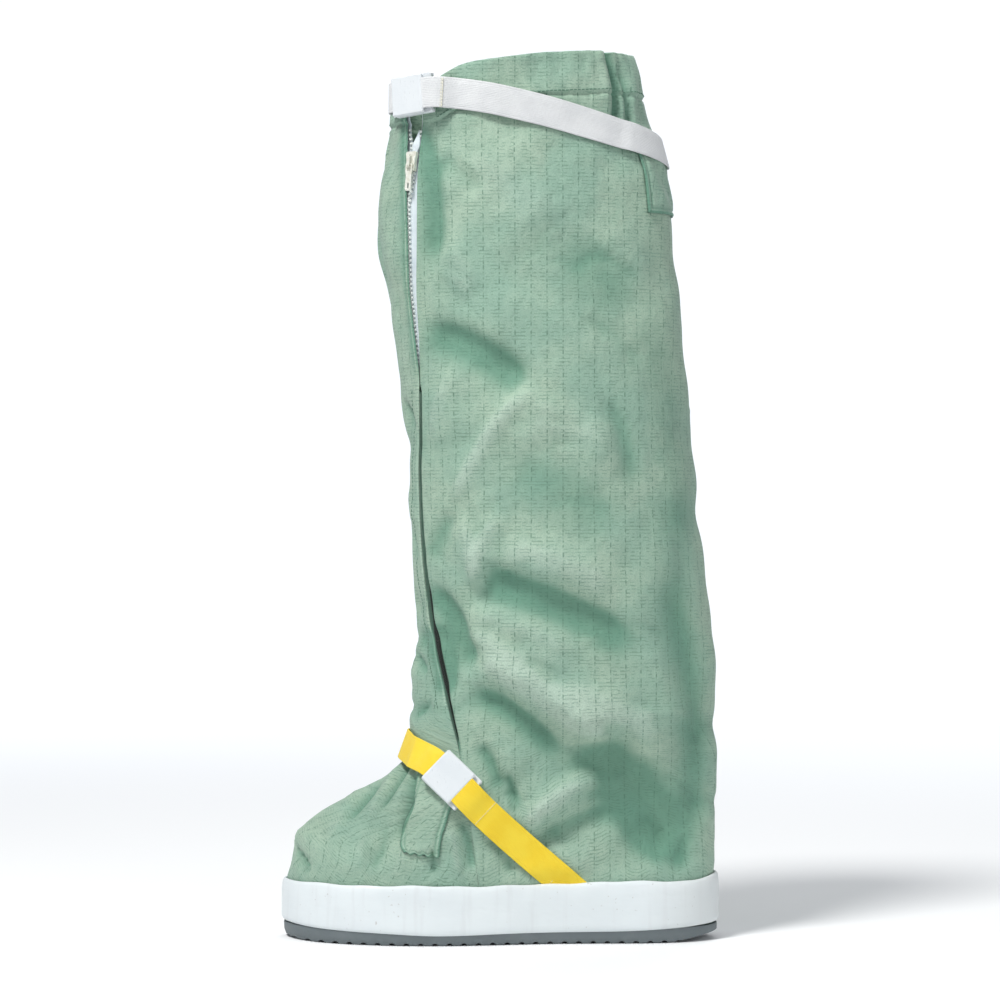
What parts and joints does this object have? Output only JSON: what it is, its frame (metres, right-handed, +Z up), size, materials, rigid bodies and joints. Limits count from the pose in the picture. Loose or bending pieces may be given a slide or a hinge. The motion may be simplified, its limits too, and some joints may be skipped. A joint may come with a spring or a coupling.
{
  "type": "cleanroom boot",
  "caption": "Knee-high left cleanroom boot: hollow fabric upper on a flat rubber sole with a white side band, a part-open side zip and two buckled straps.",
  "frame": {"origin": "on the floor under the middle of the sole's length, on the flat face of the middle lug", "axes": "+Z up along the shaft, -X towards the toe, -Y towards the outer side of the foot"},
  "size_m": [0.289, 0.1199, 0.5796],
  "materials": {
    "rubber": "grey moulded rubber with cross lugs",
    "band": "off-white matt band with faint smudges",
    "board": "pale fibre board with a woven face",
    "fabric": "sage green polyester with a dark conductive grid",
    "tape": "white woven zip tape",
    "teeth": "off-white moulded teeth",
    "metal": "worn plated die casting",
    "white_webbing": "white ribbed webbing",
    "yellow_webbing": "yellow ribbed webbing",
    "plastic": "white moulded plastic, satin"
  },
  "bodies": {
    "boot": {"outsole": "rubber", "foxing": "band", "insole": "board", "upper": "fabric", "back_tab": "fabric", "instep_tab": "fabric", "zip_tape_back": "tape", "zip_tape_front": "tape", "zip_chain": "teeth", "zip_row_back": "teeth", "zip_row_front": "teeth", "zip_slider": "metal", "top_strap": "white_webbing", "top_buckle_frame": "plastic", "top_buckle_lid": "plastic", "ankle_strap": "yellow_webbing", "ankle_buckle_frame": "plastic", "ankle_buckle_lid": "plastic"},
    "zip_pull": {"zip_pull": "metal"}
  },
  "joints": [
    {"name": "zip_pull_hinge", "type": "hinge", "parent": "boot", "child": "zip_pull", "pos_m": [-0.05892, -0.03401, 0.50618], "axis": [-0.7987, 0.6016, -0.0069], "range_deg": [0, 135]}
  ]
}
